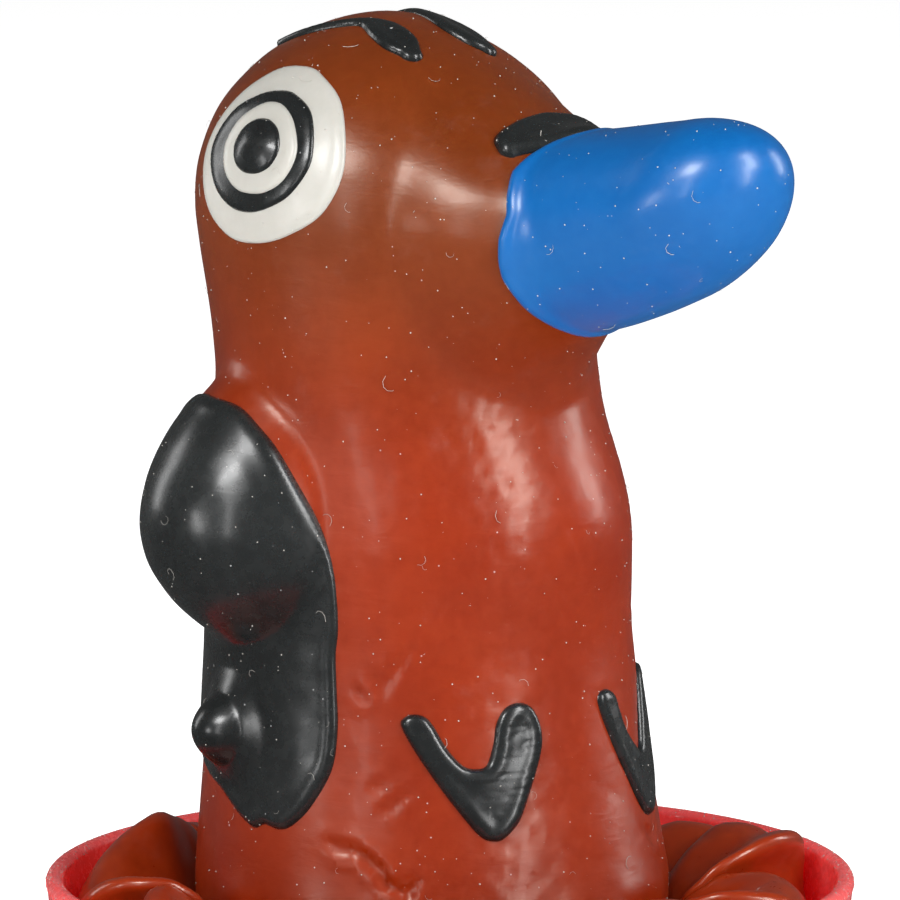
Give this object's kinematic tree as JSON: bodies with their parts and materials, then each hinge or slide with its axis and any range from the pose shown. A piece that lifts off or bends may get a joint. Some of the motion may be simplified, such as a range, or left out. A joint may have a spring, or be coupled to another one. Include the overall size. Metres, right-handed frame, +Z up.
{
  "type": "novelty bird figure in a cup",
  "caption": "Hollow dipped-latex bird with a long blunt bill, painted eyes, wings and feet, standing on a former in a tapered plastic cup, its slack skirt bunched inside the rim.",
  "frame": {"origin": "centre of the cup's flat underside", "axes": "+Z up, -Y the way the bird's bill points, +X the bird's own left"},
  "size_m": [0.06, 0.0615, 0.1055],
  "materials": {
    "cup_plastic": "gloss",
    "former_plastic": "satin",
    "brown_latex": "satin",
    "slack_film": "satin",
    "blue_latex": "gloss",
    "black_latex": "gloss",
    "white_latex": "gloss"
  },
  "bodies": {
    "stand": {"cup": "cup_plastic", "former": "former_plastic"},
    "bird": {"bird_skin": "brown_latex", "skirt": "slack_film", "rolled_bead": "brown_latex", "bill": "blue_latex", "bill_saddle": "black_latex", "right_brow": "black_latex", "left_brow": "black_latex", "right_eye_white": "white_latex", "right_eye_disc": "black_latex", "right_eye_inner": "white_latex", "right_eye_pupil": "black_latex", "left_eye_white": "white_latex", "left_eye_disc": "black_latex", "left_eye_inner": "white_latex", "left_eye_pupil": "black_latex", "right_wing": "black_latex", "left_wing": "black_latex", "right_foot": "black_latex", "left_foot": "black_latex"}
  },
  "joints": [
    {"name": "bird_lift", "type": "slide", "parent": "stand", "child": "bird", "axis": [0, 0, 1], "range_m": [0, 0.096]}
  ]
}
